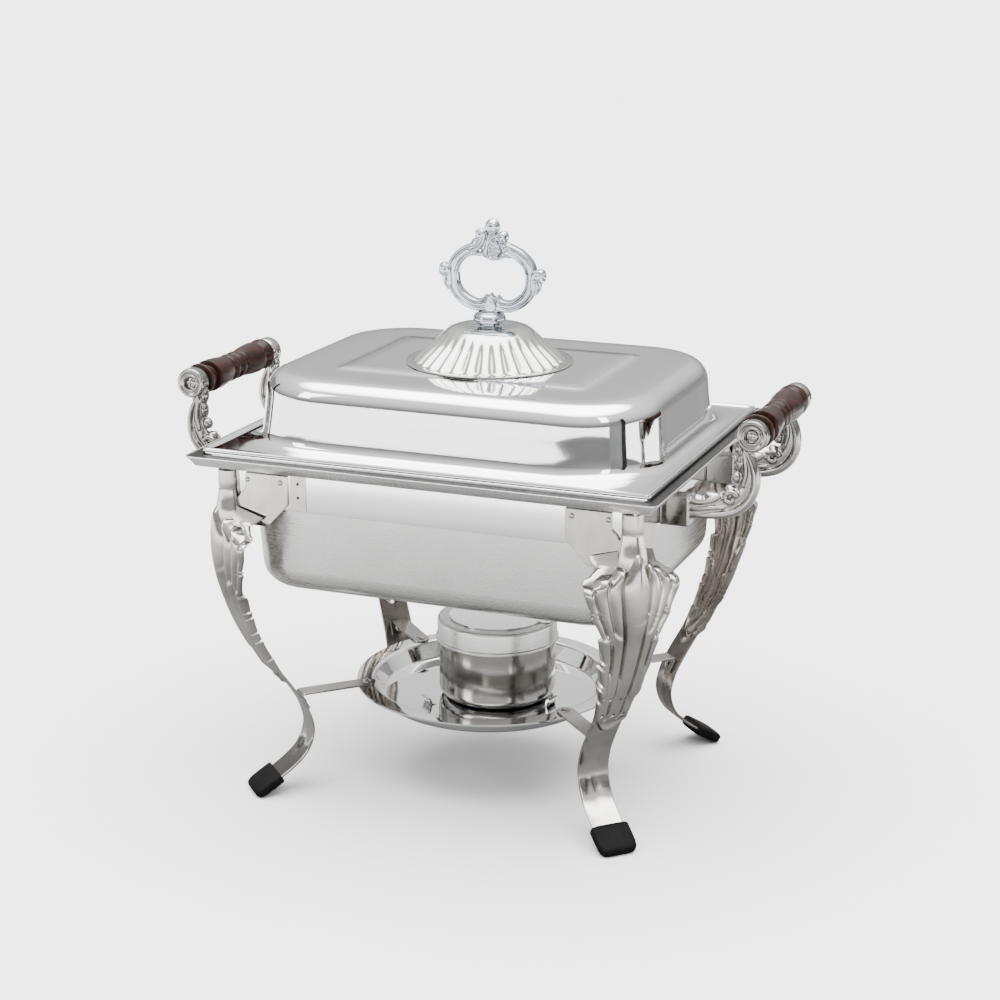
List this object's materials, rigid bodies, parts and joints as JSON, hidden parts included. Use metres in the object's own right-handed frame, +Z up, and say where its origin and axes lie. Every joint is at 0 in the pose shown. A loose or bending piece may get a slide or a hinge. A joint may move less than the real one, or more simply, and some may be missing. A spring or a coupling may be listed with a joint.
{
  "type": "chafing dish",
  "caption": "Half-size rectangular chafing dish: leaf-legged stand, water pan, food pan, domed lid with a ring handle, wood side grips and a fuel holder on a shelf dish.",
  "frame": {"origin": "on the floor, under the centre of the stand", "axes": "+X along the long side towards the right handle, -Y towards the front, +Z up"},
  "size_m": [0.452, 0.292, 0.4226],
  "materials": {
    "polished_steel": "mirror polished stainless steel",
    "satin_steel": "satin bright stainless steel",
    "brushed_pan": "brushed stainless steel",
    "cast_metal": "bright plated casting",
    "cast_chrome": "bright chrome plate",
    "rubber": "matte black rubber",
    "wood": "dark brown gloss lacquer",
    "fastener": "plain steel",
    "can_paint": "plain tinned can"
  },
  "bodies": {
    "stand": {"apron_joint_strip": "polished_steel", "boot_front_left": "rubber", "boot_front_right": "rubber", "boot_rear_left": "rubber", "boot_rear_right": "rubber", "bracket_rivets": "fastener", "frame_apron": "polished_steel", "frame_rim": "satin_steel", "fuel_shelf": "polished_steel", "grip_washers_left": "fastener", "grip_washers_right": "fastener", "handle_bracket_left_front": "cast_metal", "handle_bracket_left_rear": "cast_metal", "handle_bracket_right_front": "cast_metal", "handle_bracket_right_rear": "cast_metal", "handle_grip_left": "wood", "handle_grip_right": "wood", "handle_rod_left": "fastener", "handle_rod_right": "fastener", "handle_screws_left": "fastener", "handle_screws_right": "fastener", "leg_front_left": "satin_steel", "leg_front_right": "satin_steel", "leg_rear_left": "satin_steel", "leg_rear_right": "satin_steel", "shelf_rivets": "fastener", "shelf_stay_front_left": "polished_steel", "shelf_stay_front_right": "polished_steel", "shelf_stay_rear_left": "polished_steel", "shelf_stay_rear_right": "polished_steel", "stay_rivets": "fastener", "wing_rivets": "fastener"},
    "water_pan": {"water_pan": "brushed_pan"},
    "food_pan": {"food_pan": "polished_steel"},
    "lid": {"lid_handle_base": "polished_steel", "lid_handle_collar": "cast_chrome", "lid_handle_nut": "fastener", "lid_handle_ring": "cast_chrome", "lid_handle_stud": "fastener", "lid_handle_washer": "fastener", "lid_shell": "polished_steel"},
    "fuel_holder": {"fuel_cup": "polished_steel", "fuel_can": "can_paint"},
    "fuel_cap": {"fuel_cap": "polished_steel", "snuffer_pin": "fastener"},
    "snuffer": {"snuffer_disc": "polished_steel"}
  },
  "joints": [
    {"name": "water_pan_lift", "type": "slide", "parent": "stand", "child": "water_pan", "axis": [0, 0, 1], "range_m": [0, 0.14]},
    {"name": "food_pan_lift", "type": "slide", "parent": "water_pan", "child": "food_pan", "axis": [0, 0, 1], "range_m": [0, 0.1]},
    {"name": "lid_lift", "type": "slide", "parent": "food_pan", "child": "lid", "axis": [0, 0, 1], "range_m": [0, 0.15]},
    {"name": "fuel_holder_lift", "type": "slide", "parent": "stand", "child": "fuel_holder", "axis": [0, 0, 1], "range_m": [0, 0.012]},
    {"name": "fuel_cap_lift", "type": "slide", "parent": "fuel_holder", "child": "fuel_cap", "axis": [0, 0, 1], "range_m": [0, 0.018]},
    {"name": "snuffer_swing", "type": "hinge", "parent": "fuel_cap", "child": "snuffer", "pos_m": [0.026, 0.03464, 0.1235], "axis": [0, 0, 1], "range_deg": [0, 120]}
  ]
}
